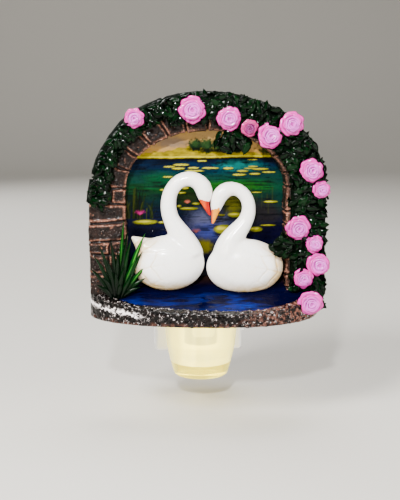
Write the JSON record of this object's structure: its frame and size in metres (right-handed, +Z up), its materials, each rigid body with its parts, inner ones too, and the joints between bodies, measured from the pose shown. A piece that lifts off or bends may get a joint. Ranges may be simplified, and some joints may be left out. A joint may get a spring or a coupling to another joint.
{
  "type": "plug-in night light",
  "caption": "Plug-in night light: resin swans on a pond under a stone arch with roses, lit painted panel, turning wall plug, slide switch, screw-in bulb.",
  "frame": {"origin": "centre of the plug face between the two blades, where it meets the wall plate", "axes": "+Z up, +Y into the wall along the blades, -Y towards the viewer, +X to the viewer's right"},
  "size_m": [0.1037, 0.0888, 0.1297],
  "materials": {
    "stone_paint": "cast resin, copper-brown paint, glossy speckle",
    "rock_paint": "cast resin, hammered dark bronze paint",
    "pond_resin": "glossy deep blue",
    "scene_film": "translucent painted panel, lit from behind",
    "swan_paint": "satin cream white",
    "rose_resin": "translucent pink resin",
    "leaf_paint": "glossy very dark green",
    "reed_paint": "glossy green",
    "milky_plastic": "milky translucent",
    "clear_plastic": "clear polished",
    "white_plastic": "satin moulded",
    "black_plastic": "moulded",
    "brass": "bright",
    "nickel": "nickel-plated brass",
    "solder": "dull solder",
    "steel": "zinc-plated",
    "tungsten": "drawn wire",
    "bulb_glass": "clear",
    "black_glass": "glassy"
  },
  "bodies": {
    "plug": {"plug_disc": "white_plastic", "blade_hot": "brass", "blade_neutral": "brass", "slip_ring": "brass", "centre_stud": "brass"},
    "housing": {"rear_housing": "white_plastic", "rear_cover": "white_plastic", "cover_screws": "steel", "hot_strap_rear": "brass", "hot_strap_front": "brass", "neutral_strap": "brass", "switch_body": "black_plastic", "lamp_cup": "milky_plastic", "cup_lens": "clear_plastic", "cup_lid": "milky_plastic", "socket_body": "black_plastic", "screw_shell": "brass", "centre_contact": "brass"},
    "switch": {"switch_slider": "white_plastic"},
    "bulb": {"bulb_glass": "bulb_glass", "bulb_base": "nickel", "bulb_insulator": "black_glass", "bulb_tip": "solder", "bulb_stem": "bulb_glass", "bulb_leads": "nickel", "filament": "tungsten"},
    "decor": {"stone_arch": "stone_paint", "rock_base": "rock_paint", "pond_water": "pond_resin", "scene_panel": "scene_film", "swan_left": "swan_paint", "swan_right": "swan_paint", "rose_01": "rose_resin", "rose_02": "rose_resin", "rose_03": "rose_resin", "rose_04": "rose_resin", "rose_05": "rose_resin", "rose_06": "rose_resin", "rose_07": "rose_resin", "rose_08": "rose_resin", "rose_09": "rose_resin", "rose_10": "rose_resin", "rose_11": "rose_resin", "rose_12": "rose_resin", "rose_13": "rose_resin", "garland_left": "leaf_paint", "garland_top": "leaf_paint", "garland_right": "leaf_paint", "sprig_top": "leaf_paint", "sprig_right": "leaf_paint", "reed_clump": "reed_paint", "shade_bracket": "steel", "bracket_screws": "steel"}
  },
  "joints": [
    {"name": "plug_swivel", "type": "hinge", "parent": "plug", "child": "housing", "pos_m": [0, 0, 0], "axis": [0, 1, 0], "range_deg": [-90, 90]},
    {"name": "switch_slide", "type": "slide", "parent": "housing", "child": "switch", "axis": [0, 0, 1], "range_m": [0, 0.004]},
    {"name": "bulb_unscrew", "type": "hinge", "parent": "housing", "child": "bulb", "pos_m": [0, -0.0234, 0], "axis": [0, 0, 1], "continuous": true},
    {"name": "shade_lift", "type": "slide", "parent": "housing", "child": "decor", "axis": [0, 0, 1], "range_m": [0, 0.014]}
  ]
}
